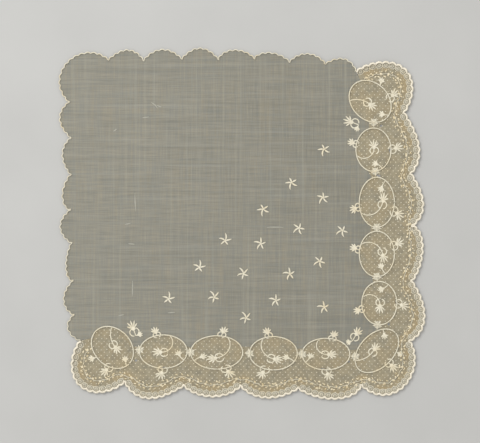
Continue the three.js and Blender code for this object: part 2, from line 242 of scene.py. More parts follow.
def cloth_height(x, y):
    """Height of the sheet's upper face over the table, in millimetres. x and y may be arrays."""
    height = SHEET_HEIGHT
    for ridge_x, ridge_y, turn, along_reach, across_reach, rise in RIPPLES:
        cosine, sine = math.cos(math.radians(turn)), math.sin(math.radians(turn))
        along = ((x - ridge_x) * cosine + (y - ridge_y) * sine) / along_reach
        across = ((y - ridge_y) * cosine - (x - ridge_x) * sine) / across_reach
        height = height + RIPPLE_LIFT * rise * np.exp(-(along**2) - across**2)
    return height


# The outline, clockwise from the top left. Each lobe starts at the cusp x, y, rises from its chord
# to its height at lean along it, and roundness 1 is a half ellipse and 2 a parabola.
LOBES = [
    (-209, 147, 34, 0.48, 1, "lawn"),
    (-162, 198, 12, 0.55, 1.7, "lawn"),
    (-120, 197, 12, 0.5, 1.9, "lawn"),
    (-74, 199, 13, 0.5, 1.9, "lawn"),
    (-30, 198, 11, 0.45, 1.5, "lawn"),
    (13, 199, 9, 0.45, 1.5, "lawn"),
    (55, 195, 11, 0.5, 1.7, "lawn"),
    (98, 193, 11, 0.55, 1.7, "lawn"),
    (135, 184, 40, 0.55, 1.2, "lace"),
    (193, 135, 13, 0.6, 1.6, "lace"),
    (201, 62, 14, 0.6, 1.5, "lace"),
    (202, -1, 13, 0.4, 1.5, "lace"),
    (202, -67, 17, 0.6, 1.4, "lace"),
    (199, -139, 36, 0.55, 1, "lace"),
    (141, -192, 15, 0.4, 1.6, "lace"),
    (66, -196, 13, 0.55, 1.6, "lace"),
    (-3, -193, 13, 0.5, 1.6, "lace"),
    (-71, -193, 18, 0.6, 1.5, "lace"),
    (-142, -188, 40, 0.5, 1.2, "lace"),
    (-196, -139, 11, 0.55, 1.6, "lawn"),
    (-203, -108, 12, 0.45, 1.7, "lawn"),
    (-204, -67, 8, 0.35, 1.5, "lawn"),
    (-206, -22, 13, 0.5, 1.7, "lawn"),
    (-207, 18, 10, 0.4, 1.5, "lawn"),
    (-207, 60, 10, 0.55, 1.6, "lawn"),
    (-207, 104, 12, 0.55, 1.7, "lawn"),
]
FIRST_LACE, LAST_LACE = 8, 18
LOBE_SAMPLES = 120
SCALLOPS = {"lawn": {"pitch": 7.6, "depth": 1.7}, "lace": {"pitch": 8.4, "depth": 1.9}}
SCALLOP_STEPS = 8


def lobe_curve(number):
    """The large curve of one lobe, from its cusp to the next, as an array of points."""
    x, y, rise, lean, roundness, _ = LOBES[number]
    next_x, next_y = LOBES[(number + 1) % len(LOBES)][:2]
    chord = np.array([next_x - x, next_y - y])
    outward = np.array([-chord[1], chord[0]]) / np.hypot(*chord)
    angle = np.linspace(0, math.pi, LOBE_SAMPLES + 1)[:, None]
    along = ((1 - np.cos(angle)) / 2) ** (math.log(lean) / math.log(0.5))
    return np.array([x, y]) + along * chord + rise * np.abs(np.sin(angle)) ** roundness * outward


def walk(line, count):
    """Count + 1 points spaced evenly along a line."""
    line = np.array(line, float)
    reach = np.concatenate([[0], np.cumsum(np.hypot(*np.diff(line, axis=0).T))])
    stops = np.linspace(0, reach[-1], count + 1)
    return np.column_stack([np.interp(stops, reach, line[:, axis]) for axis in (0, 1)])


def length_of(line):
    return float(np.hypot(*np.diff(np.array(line, float), axis=0).T).sum())


def left_of(line):
    """The unit direction to the left of a line at each of its points."""
    ahead = np.gradient(line, axis=0)
    ahead /= np.maximum(np.hypot(*ahead.T)[:, None], 1e-9)
    return np.column_stack([-ahead[:, 1], ahead[:, 0]])


def scallop_count(number):
    return round(length_of(lobe_curve(number)) / SCALLOPS[LOBES[number][5]]["pitch"])


def scalloped_lobe(number, inset=0.0):
    """One lobe with its small scallops, drawn in by inset."""
    count = scallop_count(number)
    line = walk(lobe_curve(number), count * SCALLOP_STEPS)
    phase = np.pi * (np.arange(len(line)) % SCALLOP_STEPS) / SCALLOP_STEPS
    rise = SCALLOPS[LOBES[number][5]]["depth"] * np.sin(phase) - inset
    return line + left_of(line) * rise[:, None]


# The loops of the medallion cords. A loop is measured out towards the lace edge and along towards
# the free end of its side: an ellipse with its long and cross halves, turned, its middle moved.
LOOP_STEP = 6
LOOP_SIZES = {
    "oval": {"long": 21, "cross": 26, "turn": 0, "middle": (0, 0)},
    "tall": {"long": 21, "cross": 26, "turn": 0, "middle": (0, 0)},
    "end": {"long": 28, "cross": 22, "turn": -45, "middle": (0, 0)},
    "corner": {"long": 31, "cross": 20, "turn": 45, "middle": (2, -4)},
}


def on_loop(kind, around):
    """The places of a loop at angles round it, in degrees."""
    sizes = LOOP_SIZES[kind]
    angle, turn = np.radians(around), math.radians(sizes["turn"])
    first, second = sizes["long"] * np.cos(angle), sizes["cross"] * np.sin(angle)
    out = first * math.cos(turn) - second * math.sin(turn) + sizes["middle"][0]
    along = first * math.sin(turn) + second * math.cos(turn) + sizes["middle"][1]
    return np.column_stack([out, along])


# Each row is the medallion's kind, its side, its flip along that side, its middle, and its scales.
MEDALLIONS = [
    ("end", "right", 1, 152, 148, 1.0, 1.0),
    ("oval", "right", 1, 156, 90, 1.0, 1.0),
    ("tall", "right", 1, 160, 27, 1.0, 1.15),
    ("tall", "right", -1, 160, -35, 1.0, 1.05),
    ("oval", "right", -1, 163, -94, 1.0, 1.0),
    ("corner", "right", 1, 158, -147, 1.0, 1.0),
    ("oval", "lower", -1, 99, -155, 0.9, 1.1),
    ("tall", "lower", -1, 36, -154, 0.95, 1.1),
    ("tall", "lower", 1, -32, -153, 0.95, 1.2),
    ("oval", "lower", 1, -96, -152, 0.95, 1.1),
    ("end", "lower", 1, -157, -147, 1.0, 1.0),
]


def placed(line, side, flip, x, y, out_scale, along_scale):
    """Points of a chart, out and along, put in their place on the cloth."""
    line = np.array(line, float)
    out, along = line[:, 0] * out_scale, line[:, 1] * along_scale * flip
    if side == "right":
        return np.column_stack([x + out, y + along])
    return np.column_stack([x - along, y - out])


def smooth_line(line, steps):
    """A smooth line through a few points, with steps to each stretch."""
    padded = np.vstack([2 * line[0] - line[1], line, 2 * line[-1] - line[-2]])
    share = np.linspace(0, 1, steps, endpoint=False)[:, None]
    parts = [
        0.5 * (2 * b + (c - a) * share + (2 * a - 5 * b + 4 * c - d) * share**2
               + (3 * b - a - 3 * c + d) * share**3)
        for a, b, c, d in zip(padded, padded[1:], padded[2:], padded[3:])
    ]
    return np.vstack(parts + [line[-1:]])


# The stretch of each kind of loop that lies on the lawn, in degrees round it. The net fills the
# loop, and the lawn stops there.
LAWN_STRETCHES = {"oval": (105, 255), "tall": (105, 255), "end": (155, 310), "corner": (47, 125)}


def seam_of(medallions):
    """The seam between lawn and net: from cusp to cusp, along the lawn side of every medallion."""
    seam = [np.array([LOBES[FIRST_LACE][:2]])]
    for kind, *where in medallions:
        side = placed(on_loop(kind, np.arange(*LAWN_STRETCHES[kind], LOOP_STEP)), *where)
        if np.hypot(*(side[-1] - seam[-1][-1])) < np.hypot(*(side[0] - seam[-1][-1])):
            side = side[::-1]
        seam.append(side)
    return np.vstack(seam + [np.array([LOBES[LAST_LACE + 1][:2]])])


def inside(points, ring):
    """Which of the points lie inside a closed ring."""
    points, ring = np.array(points, float), np.array(ring, float)
    nexts = np.roll(ring, -1, axis=0)
    result = np.zeros(len(points), bool)
    for (x0, y0), (x1, y1) in zip(ring, nexts):
        if y0 != y1:
            crosses = (points[:, 1] < y0) != (points[:, 1] < y1)
            result ^= crosses & (points[:, 0] < x0 + (points[:, 1] - y0) * (x1 - x0) / (y1 - y0))
    return result


def clear_of(points, ring, distance):
    """Which of the points are further than distance from every point of a ring."""
    gaps = points[:, None, :] - np.array(ring, float)[None, :, :]
    return (gaps**2).sum(axis=2).min(axis=1) > distance**2


# The grid of a sheet: the gap of its rows and its clearance from an edge, as shares of its step.
ROW_SHARE, EDGE_SHARE = 0.87, 0.45
MESH_MERGE = 1e-4


def cut_sheet(name, outline, windows, grid_step):
    """A closed thin sheet on the lie of the cloth, cut to an outline, with windows through it."""
    low, high = np.min(outline, axis=0), np.max(outline, axis=0)
    grid = np.array([
        (x + (row % 2) * grid_step / 2, y)
        for row, y in enumerate(np.arange(low[1], high[1], grid_step * ROW_SHARE))
        for x in np.arange(low[0], high[0], grid_step)
    ])
    grid = grid[inside(grid, outline)]
    for ring in (outline, *windows):
        grid = grid[clear_of(grid, ring, grid_step * EDGE_SHARE)]
    for ring in windows:
        grid = grid[~inside(grid, ring)]
    coords, edges = [Vector(p) for p in grid], []
    for ring in (outline, *windows):
        first = len(coords)
        coords += [Vector(p) for p in ring]
        edges += [(first + i, first + (i + 1) % len(ring)) for i in range(len(ring))]
    flat, _, triangles, *_ = delaunay_2d_cdt(coords, edges, [], 0, MESH_MERGE)
    flat = np.array([tuple(p) for p in flat])
    triangles = np.array([tuple(t) for t in triangles])
    middles = flat[triangles].mean(axis=1)
    kept = inside(middles, outline)
    for ring in windows:
        kept &= ~inside(middles, ring)
    triangles = triangles[kept]
    sides = flat[triangles[:, 1:]] - flat[triangles[:, :1]]
    backwards = sides[:, 0, 0] * sides[:, 1, 1] - sides[:, 0, 1] * sides[:, 1, 0] < 0
    triangles[backwards] = triangles[backwards][:, ::-1]
    top = np.column_stack([flat, cloth_height(flat[:, 0], flat[:, 1])])
    under = top - [0, 0, SHEET_THICKNESS]
    count = len(flat)
    faces = [tuple(int(i) for i in t) for t in triangles]
    directed = {(t[i], t[(i + 1) % 3]) for t in faces for i in range(3)}
    rim = [(a, b) for a, b in directed if (b, a) not in directed]
    faces += [tuple(i + count for i in reversed(t)) for t in faces]
    faces += [(a, a + count, b + count, b) for a, b in sorted(rim)]
    return new_piece(name, np.vstack([top, under]), faces)


SMOOTH_ANGLE = math.radians(50)


def new_piece(name, points, faces):
    """A piece from points in millimetres."""
    mesh = bpy.data.meshes.new(name)
    mesh.from_pydata((np.array(points) * MM).tolist(), [], faces)
    loose = bmesh.new()
    loose.from_mesh(mesh)
    bmesh.ops.delete(loose, geom=[v for v in loose.verts if not v.link_faces], context="VERTS")
    bmesh.ops.recalc_face_normals(loose, faces=loose.faces)
    loose.to_mesh(mesh)
    loose.free()
    mesh.polygons.foreach_set("use_smooth", [True] * len(mesh.polygons))
    mesh.set_sharp_from_angle(angle=SMOOTH_ANGLE)
    return link_piece(name, mesh)


lawn_material, lawn_tree, lawn_shader = new_material("sheer_lawn", 0.9, alpha=0.62)
# It is a little paler towards the left side.
PALE_FROM, PALE_LEFT = 0.1, -0.19
lawn_base = two_tones(
    lawn_tree, 16.0, (143, 141, 130), (153, 151, 140), detail=3.0, span=(0.36, 0.64)
)
lawn_place = add_node(lawn_tree, "ShaderNodeTexCoord").outputs["Object"]
place_parts = add_node(lawn_tree, "ShaderNodeSeparateXYZ", {0: lawn_place})
left_paleness = window_of(lawn_tree, place_parts.outputs["X"], PALE_FROM, PALE_LEFT)
lawn_base = blend_colours(lawn_tree, left_paleness, lawn_base, linear(158, 156, 145))
# Slubs of the yarn: how they stretch up or across the cloth, how rare, their colour, how strong.
SLUBS = [
    ((430, 11, 1), (0.42, 0.72), (173, 161, 135), 0.58),
    ((11, 400, 1), (0.42, 0.72), (132, 139, 138), 0.52),
    ((1000, 40, 1), (0.42, 0.72), (175, 170, 152), 0.56),
    ((40, 1000, 1), (0.42, 0.72), (126, 126, 117), 0.56),
    ((260, 3.5, 1), (0.54, 0.7), (176, 174, 160), 0.4),
    ((4.5, 170, 1), (0.52, 0.7), (124, 123, 114), 0.26),
    ((5.5, 220, 1), (0.54, 0.7), (176, 175, 164), 0.32),
]
lawn_colour = lawn_base
for stretch, (low, high), colour, strength in SLUBS:
    slub = window_of(lawn_tree, noise(lawn_tree, 1.0, stretch, 4.0), low, high)
    share = math_of(lawn_tree, "MULTIPLY", slub, strength)
    lawn_colour = blend_colours(lawn_tree, share, lawn_colour, linear(*colour))
lawn_tree.links.new(lawn_colour, lawn_shader.inputs["Base Color"])

THREADS_PER_METRE = 1100
WAVES_TO_SCALE, WAVE_DISTORTION = 6.3, 0.6
WAVE_SCALE = THREADS_PER_METRE / WAVES_TO_SCALE
THREAD_DEPTH, RUMPLE_DEPTH = 0.00006, 0.0006


def weave_of(tree, scale):
    """Two sets of threads, one up and one across."""
    place = add_node(tree, "ShaderNodeTexCoord").outputs["Object"]
    sets = []
    for direction in ("X", "Y"):
        sockets = {"Vector": place, "Scale": scale, "Distortion": WAVE_DISTORTION}
        sets.append(add_node(tree, "ShaderNodeTexWave", sockets, bands_direction=direction))
    return blend_colours(tree, 0.5, sets[0].outputs["Color"], sets[1].outputs["Color"])


lawn_rumple = bump_on(lawn_tree, lawn_shader, noise(lawn_tree, 55.0), RUMPLE_DEPTH, 0.6)
bump_on(lawn_tree, lawn_shader, weave_of(lawn_tree, WAVE_SCALE), THREAD_DEPTH, 0.6, lawn_rumple)

lawn_lobes = [number for number, lobe in enumerate(LOBES) if lobe[5] == "lawn"]
lace_lobes = [number for number, lobe in enumerate(LOBES) if lobe[5] == "lace"]
top_lobes = [number for number in lawn_lobes if number < FIRST_LACE]
left_lobes = [number for number in lawn_lobes if number > LAST_LACE]
EDGE_INSET = 1.1


def joined(lines):
    """Lines end to end, without the doubled points."""
    return np.vstack([line[:-1] for line in lines] + [lines[-1][-1:]])


plain_edge = joined([scalloped_lobe(number, EDGE_INSET) for number in left_lobes + top_lobes])
seam_line = seam_of(MEDALLIONS)
lawn_outline = np.vstack([plain_edge, seam_line[1:-1]])
lawn_cloth = cut_sheet("lawn_cloth", lawn_outline, [], LAWN_GRID)
lawn_cloth.data.materials.append(lawn_material)
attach(lawn_cloth, "root")
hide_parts("lawn")


# ---------------------------------------------------------------------------
# The net. An L of fine machine net down the right side and along the lower side. It is greyer in
# the middle, and golden where the wash has yellowed it between the vine and the edge.
NET_GRID = 3.0
LENS_POINTS, LENS_POINTING = 14, 0.3


def inset_lobe(number, inset):
    line = walk(lobe_curve(number), LOBE_SAMPLES // 3)
    return line - left_of(line) * inset


def lens(x, y, half_length, half_width, turn):
    """A pointed opening: two arcs that meet at its ends."""
    sweep = np.linspace(0, 2 * math.pi, LENS_POINTS, endpoint=False)
    across = np.sin(sweep) * np.abs(np.sin(sweep)) ** LENS_POINTING
    shape = np.column_stack([half_length * np.cos(sweep), half_width * across])
    cosine, sine = math.cos(math.radians(turn)), math.sin(math.radians(turn))
    return shape @ np.array([[cosine, sine], [-sine, cosine]]) + [x, y]


# Openings left between the cords: x, y, half length, half width, turn.
OPENINGS = [
    (175.5, 89.0, 3.0, 1.1, 90),
    (183.0, -91.6, 3.0, 1.1, 92),
    (95.1, -173.0, 3.2, 1.3, 0),
    (-94.7, -171.4, 3.2, 1.4, 0),
    (165.0, 118.9, 1.9, 1.2, 20),
    (161.9, 59.1, 3.0, 1.3, -8),
    (165.4, -61.2, 2.8, 1.3, 8),
    (174.2, -119.2, 1.9, 1.3, 60),
    (126.5, -164.1, 1.4, 1.3, 0),
    (-64.3, -155.8, 1.2, 2.2, 0),
    (-129.0, -162.6, 1.6, 1.5, 0),
]

net_edge = joined([inset_lobe(number, EDGE_INSET) for number in lace_lobes])
net_outline = np.vstack([net_edge[1:-1], seam_line[::-1]])
net_cloth = cut_sheet("net_cloth", net_outline, [lens(*row) for row in OPENINGS], NET_GRID)

# How golden each part of the net is: most between the vine and the edging, some in the medallions.
GOLD_PLACE, GOLD_REACH = 9.0, 4.5
PEAK_GOLD, MEDALLION_GOLD, GROUND_GOLD = 0.85, 0.4, 0.22


def gold_of(points):
    """The share of gold at flat points of the net."""
    edge = joined([lobe_curve(number)[::6] for number in lace_lobes])
    gaps = np.sqrt(((points[:, None, :] - edge[None, :, :]) ** 2).sum(axis=2).min(axis=1))
    gold = PEAK_GOLD * np.exp(-(((gaps - GOLD_PLACE) / GOLD_REACH) ** 2))
    gold = np.maximum(gold, GROUND_GOLD)
    for kind, *where in MEDALLIONS:
        loop = placed(on_loop(kind, np.arange(0, 360, LOOP_STEP)), *where)
        gold = np.maximum(gold, MEDALLION_GOLD * inside(points, loop))
    return gold


net_flat = np.array([vertex.co[:2] for vertex in net_cloth.data.vertices]) / MM
net_gold = net_cloth.data.attributes.new("gold", "FLOAT", "POINT")
net_gold.data.foreach_set("value", gold_of(net_flat))

MESHES_PER_METRE, MESH_STRAYING = 900, 0.35
THREAD_SHOWING = 0.45
net_material, net_tree, net_shader = new_material("dotted_net", 0.9, alpha=0.62)
gold_mark = add_node(net_tree, "ShaderNodeAttribute", attribute_name="gold").outputs["Fac"]
gold_patches = window_of(net_tree, noise(net_tree, 75.0, detail=3.0), 0.36, 0.6)
gold_share = math_of(net_tree, "MULTIPLY", gold_mark, gold_patches)
net_grey = two_tones(
    net_tree, 190.0, (139, 134, 118), (169, 161, 139), detail=3.0, span=(0.38, 0.62)
)
net_base = blend_colours(net_tree, gold_share, net_grey, linear(182, 160, 119))
net_place = add_node(net_tree, "ShaderNodeTexCoord").outputs["Object"]
net_holes = add_node(
    net_tree,
    "ShaderNodeTexVoronoi",
    {"Vector": net_place, "Scale": MESHES_PER_METRE, "Randomness": MESH_STRAYING},
    feature="DISTANCE_TO_EDGE",
)
net_thread = window_of(net_tree, net_holes.outputs["Distance"], 0.32, 0.08)
net_colour = blend_colours(net_tree, net_thread, net_base, linear(188, 178, 150))
net_mixed = blend_colours(net_tree, THREAD_SHOWING, net_base, net_colour)
net_tree.links.new(net_mixed, net_shader.inputs["Base Color"])
bump_on(net_tree, net_shader, net_thread, 0.00008, 0.6)
net_cloth.data.materials.append(net_material)
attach(net_cloth, "root")
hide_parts("lace_border")

# ---------------------------------------------------------------------------
# The medallion cords. Eleven loops of soft three-ply cotton cord, couched down through lawn and
# net. The lawn is cut away behind them, so that the net shows inside every loop.
CORD_RADIUS, EDGE_CORD_RADIUS = 0.85, 0.72
CORD_STEP = 0.9
PLIES, PLY_TURN = 3, 75.0
# As shares of its radius: the waist between two plies, and the lift of its middle.
CORD_WAIST, CORD_LIFT = 0.72, 0.8

cream_material, cream_tree, cream_shader = new_material("cream_cotton", 0.8)
cream_colour = two_tones(cream_tree, 260.0, (210, 203, 182), (224, 218, 199))
# It has yellowed in soft patches.
yellow_patches = window_of(cream_tree, noise(cream_tree, 38.0, detail=2.0), 0.5, 0.9)
cream_colour = blend_colours(cream_tree, yellow_patches, cream_colour, linear(220, 203, 165))
cream_tree.links.new(cream_colour, cream_shader.inputs["Base Color"])
strands_on(cream_tree, cream_shader)


def new_node_tree(name, sizes):
    """A Geometry Nodes tree with its geometry sockets and a named input for each size."""
    tree = bpy.data.node_groups.new(name, "GeometryNodeTree")
    tree.interface.new_socket("Geometry", in_out="INPUT", socket_type="NodeSocketGeometry")
    for label, kind in sizes.items():
        tree.interface.new_socket(label, in_out="INPUT", socket_type="NodeSocket" + kind)
    tree.interface.new_socket("Geometry", in_out="OUTPUT", socket_type="NodeSocketGeometry")
    return tree, tree.nodes.new("NodeGroupInput").outputs, tree.nodes.new("NodeGroupOutput").inputs


def worked_piece(name, base, tree, values):
    """The plain mesh that a tree makes of a base mesh. The base is taken away."""
    modifier = base.modifiers.new("work", "NODES")
    modifier.node_group = tree
    for item in tree.interface.items_tree:
        if item.in_out == "INPUT" and item.name in values:
            modifier[item.identifier] = values[item.name]
    graph = bpy.context.evaluated_depsgraph_get()
    mesh = bpy.data.meshes.new_from_object(base.evaluated_get(graph), depsgraph=graph)
    bpy.data.objects.remove(base)
    mesh.name = name
    return link_piece(name, mesh)


def line_mesh(name, lines):
    """A mesh of edges alone, one chain for each line of x, y, z points in millimetres."""
    points, edges = [], []
    for line, closed in lines:
        first = len(points)
        points += [tuple(float(value) * MM for value in point) for point in line]
        edges += [(first + i, first + i + 1) for i in range(len(line) - 1)]
        if closed:
            edges.append((len(points) - 1, first))
    mesh = bpy.data.meshes.new(name)
    mesh.from_pydata(points, edges, [])
    return link_piece(name, mesh)


def finish_tree(tree, geometry, material, outputs):
    """Ends a tree: smooth faces, instances made real, and its material."""
    real = add_node(tree, "GeometryNodeRealizeInstances", {"Geometry": geometry})
    smooth = add_node(tree, "GeometryNodeSetShadeSmooth", {"Geometry": real.outputs[0]})
    painted = {"Geometry": smooth.outputs[0], "Material": material}
    tree.links.new(add_node(tree, "GeometryNodeSetMaterial", painted).outputs[0], outputs[0])


cord_tree, cord_in, cord_out = new_node_tree(
    "plied_cord",
    {"Cord Radius": "Float", "Step": "Float", "Ply Turn": "Float", "Material": "Material"},
)
cord_line = add_node(cord_tree, "GeometryNodeMeshToCurve", {"Mesh": cord_in["Geometry"]})
cord_stops = {"Curve": cord_line.outputs[0], "Length": cord_in["Step"]}
cord_steps = add_node(cord_tree, "GeometryNodeResampleCurve", cord_stops, mode="LENGTH")
cord_upright = add_node(
    cord_tree, "GeometryNodeSetCurveNormal", {"Curve": cord_steps.outputs[0]}, mode="Z_UP"
)
cord_index = add_node(cord_tree, "GeometryNodeInputIndex").outputs[0]
cord_twist = math_of(cord_tree, "MULTIPLY", cord_index, cord_in["Ply Turn"])
cord_turned = {"Curve": cord_upright.outputs[0], "Tilt": cord_twist}
cord_tilted = add_node(cord_tree, "GeometryNodeSetCurveTilt", cord_turned)
cord_radius = cord_in["Cord Radius"]
cord_waist = math_of(cord_tree, "MULTIPLY", cord_radius, CORD_WAIST)
cord_star = {"Points": PLIES, "Inner Radius": cord_waist, "Outer Radius": cord_radius}
cord_section = add_node(cord_tree, "GeometryNodeCurveStar", cord_star)
cord_sweep = {
    "Curve": cord_tilted.outputs[0], "Profile Curve": cord_section.outputs[0], "Fill Caps": True
}
cord_body = add_node(cord_tree, "GeometryNodeCurveToMesh", cord_sweep)
finish_tree(cord_tree, cord_body.outputs[0], cord_in["Material"], cord_out)


def on_cloth(line, lift):
    """A flat line laid on the cloth, its points lifted off it."""
    line = np.array(line, float)
    return np.column_stack([line, cloth_height(line[:, 0], line[:, 1]) + lift])


def corded(name, lines, radius, material):
    """Cord of one radius laid along flat lines, each a line and whether it is closed."""
    laid = [(on_cloth(line, radius * CORD_LIFT), closed) for line, closed in lines]
    base = line_mesh(name + "_line", laid)
    sizes = {"Cord Radius": radius * MM, "Step": CORD_STEP * MM, "Ply Turn": math.radians(PLY_TURN)}
    return worked_piece(name, base, cord_tree, {**sizes, "Material": material})


for number, (kind, *where) in enumerate(MEDALLIONS, 1):
    loops = [(placed(on_loop(kind, np.arange(0, 360, LOOP_STEP / 2)), *where), True)]
    loop_cord = corded(f"medallion_cord_{number:02d}", loops, CORD_RADIUS, cream_material)
    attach(loop_cord, "root")
    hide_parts(f"medallion_{number:02d}")

# ---------------------------------------------------------------------------
# The sprays. Flowers, leaves and stems worked in satin stitch in and around each medallion, in the
# same cream cotton. A spray is a few branches rooted on the loop: each has the angle of its root,
# and its stem's heading in degrees from out towards along, length, even turn, and flower size.
SATIN_HEIGHT = 0.5
STEM_HALF, LEAF_HALF, CURL_HALF = 0.6, 0.95, 0.72
SATIN_LIFT = 0.1
BUD_SIDES = 12

SPRAYS = {
    "oval": [(195, -45, 30, 140, 1), (0, 20, 6, 0, 1), (165, 160, 4, 0, 0.8), (300, 120, 8, 40, 0.7)],
    "tall": [(205, -30, 34, 110, 1), (340, -30, 5, 0, 1), (190, 200, 5, 0, 0.8), (60, 220, 8, 30, 0.7)],
    "end": [(230, 20, 26, -60, 1), (60, 45, 5, 0, 1), (100, 75, 4, 0, 0.7), (10, 170, 6, 0, 0.7)],
    "corner": [(150, 0, 28, 60, 1), (270, -45, 5, 0, 1), (300, -30, 3, 0, 0.6), (40, -80, 6, 0, 0.7)],
}
# A flower is a bud with a fan of leaves ahead of it, each row a heading from the flower's own and
# a share of the reach, and a curl back at each side. A small flower has no curls.
BUD_RADIUS, LEAF_REACH = 2.3, 9.5
FAN_LEAVES = [(-54, 0.75), (-27, 0.95), (0, 1), (27, 0.95), (54, 0.75)]
CURL_OUT, CURL_LENGTH, CURL_TURN = 75, 13.5, 190
LARGE_FLOWER = 0.75
# Its leaves set off from inside the bud, at this share of the bud's radius.
LEAF_START = 0.7


def stroke_line(x, y, heading, length, turn, steps=8):
    """The middle of a stroke that sets off at a heading and turns evenly over its length."""
    angles = np.radians(heading + turn * (np.arange(steps) + 0.5) / steps)
    moves = np.column_stack([np.cos(angles), np.sin(angles)]) * length / steps
    return np.vstack([[x, y], np.cumsum(moves, axis=0) + [x, y]])


# A satin section: across it from the left, and its height there.
LEAF_SECTION = [(-1, 0), (-0.72, 0.85), (0, 0.6), (0.72, 0.85), (1, 0)]
ROUND_SECTION = [(-1, 0), (-0.7, 0.75), (0, 1), (0.7, 0.75), (1, 0)]


def add_ridge(work, line, halves, section, height):
    """Adds a closed ridge along a flat line to work, with its half widths point by point."""
    points, faces = work
    first, ring = len(points), len(section)
    left = left_of(line)
    ground = cloth_height(line[:, 0], line[:, 1]) + SATIN_LIFT
    for place, side, half, base in zip(line, left, halves, ground):
        share = min(1.0, half / STEM_HALF)
        for across, up in section:
            x, y = place - side * across * half
            points.append((x, y, base + up * height * share))
    for step in range(len(line) - 1):
        for i in range(ring):
            near, far = first + step * ring, first + (step + 1) * ring
            j = (i + 1) % ring
            faces.append((near + i, near + j, far + j, far + i))
    faces.append(tuple(first + i for i in range(ring))[::-1])
    faces.append(tuple(len(points) - ring + i for i in range(ring)))


# A padded bud, from its edge in: the share of its reach and of its height. It has a raised rim, a
# dip, and a raised middle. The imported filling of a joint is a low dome.
BUD_RINGS = [(1.0, 0.0), (0.86, 0.8), (0.6, 0.75), (0.35, 0.95)]
DOME_RINGS = [(1.0, 0.0), (0.94, 0.7), (0.6, 1.0)]


def add_bud(work, x, y, half_x, half_y, height, rings=BUD_RINGS):
    """Adds a round piece of padding to work."""
    points, faces = work
    first = len(points)
    base = float(cloth_height(x, y)) + SATIN_LIFT
    for share, up in rings:
        for side in range(BUD_SIDES):
            angle = 2 * math.pi * side / BUD_SIDES
            place = (x + half_x * share * math.cos(angle), y + half_y * share * math.sin(angle))
            points.append((*place, base + up * height))
    for ring in range(len(rings) - 1):
        for side in range(BUD_SIDES):
            near, far = first + ring * BUD_SIDES, first + (ring + 1) * BUD_SIDES
            j = (side + 1) % BUD_SIDES
            faces.append((near + side, near + j, far + j, far + side))
    faces.append(tuple(first + side for side in range(BUD_SIDES))[::-1])
    faces.append(tuple(len(points) - BUD_SIDES + side for side in range(BUD_SIDES)))


# How a leaf swells: the span of a half wave along it, its power, and its least share of the width.
LEAF_SPAN, LEAF_POWER, LEAF_LEAST = (0.06, 0.96), 0.8, 0.22
# How a curl swells from its start, and how thin its last point is.
CURL_START, CURL_GROWTH, CURL_END = 0.72, 0.8, 0.62
STEM_STEPS = 3


def add_spray(work, chart, where, fineness=1.0):
    """Adds every stroke of a chart to work, in its place on the cloth."""
    for line in chart["stems"]:
        line = placed(smooth_line(line, STEM_STEPS), *where)
        halves = np.full(len(line), STEM_HALF * fineness)
        add_ridge(work, line, halves, ROUND_SECTION, SATIN_HEIGHT)
    for row in chart["leaves"]:
        line = placed(stroke_line(*row), *where)
        share = np.linspace(*LEAF_SPAN, len(line))
        halves = LEAF_HALF * fineness * np.maximum(np.sin(np.pi * share) ** LEAF_POWER, LEAF_LEAST)
        add_ridge(work, line, halves, LEAF_SECTION, SATIN_HEIGHT)
    for row in chart["curls"]:
        line = placed(stroke_line(*row), *where)
        share = np.linspace(0, 1, len(line))
        halves = CURL_HALF * fineness * np.minimum(CURL_START + share * CURL_GROWTH, 1.0)
        halves[-1] *= CURL_END
        add_ridge(work, line, halves, ROUND_SECTION, SATIN_HEIGHT)
    for out, along, half_out, half_along in chart["buds"]:
        (x, y), = placed([(out, along)], *where)
        halves = (half_out, half_along) if where[0] == "right" else (half_along, half_out)
        add_bud(work, x, y, *halves, SATIN_HEIGHT)


def flower_strokes(chart, place, facing, size):
    """Adds a flower to a chart, in its place and facing a heading."""
    x, y = place
    radius = BUD_RADIUS * size
    chart["buds"].append((x, y, radius, radius))
    for away, share in FAN_LEAVES:
        angle, inner = math.radians(facing + away), LEAF_START * radius
        edge = (x + inner * math.cos(angle), y + inner * math.sin(angle))
        reach = LEAF_REACH * size * share - inner
        chart["leaves"].append((*edge, facing + away, reach, 0))
    if size >= LARGE_FLOWER:
        for way in (-1, 1):
            heading = facing + way * CURL_OUT
            chart["curls"].append((x, y, heading, CURL_LENGTH * size, way * CURL_TURN))


def branch_strokes(chart, root, heading, length, turn, size):
    """Adds a branch to a chart: its stem and the flower at the stem's end."""
    line = stroke_line(*root, heading, length, turn)
    chart["stems"].append(line)
    flower_strokes(chart, line[-1], heading + turn, size)


def new_chart():
    return {"stems": [], "buds": [], "leaves": [], "curls": []}


# The joint between one medallion and the next: a star of leaves round a bud, where the cord of
# the first comes nearest to the middle of the next.
STAR_BUD, STAR_LEAVES = 1.9, 5
STAR_REACH, STAR_START = 6.0, 1.4
JOINT_FINENESS = 0.8


def joint_of(number):
    """The place of the joint after a medallion, and its turn."""
    kind, *where = MEDALLIONS[number]
    middle = np.array(MEDALLIONS[number + 1][3:5], float)
    loop = placed(on_loop(kind, np.arange(0, 360, LOOP_STEP)), *where)
    nearest = loop[np.argmin(np.hypot(*(loop - middle).T))]
    return nearest, math.degrees(math.atan2(*(middle - nearest)[::-1]))


joints = [joint_of(number) for number in range(len(MEDALLIONS) - 1)]


def star_chart(turn):
    """The strokes of a joint, turned."""
    chart = new_chart()
    chart["buds"].append((0, 0, STAR_BUD, STAR_BUD))
    for leaf in range(STAR_LEAVES):
        heading = turn + 360 * leaf / STAR_LEAVES
        angle = math.radians(heading)
        start = (STAR_START * math.cos(angle), STAR_START * math.sin(angle))
        chart["leaves"].append((*start, heading, STAR_REACH - STAR_START, 0))
    return chart


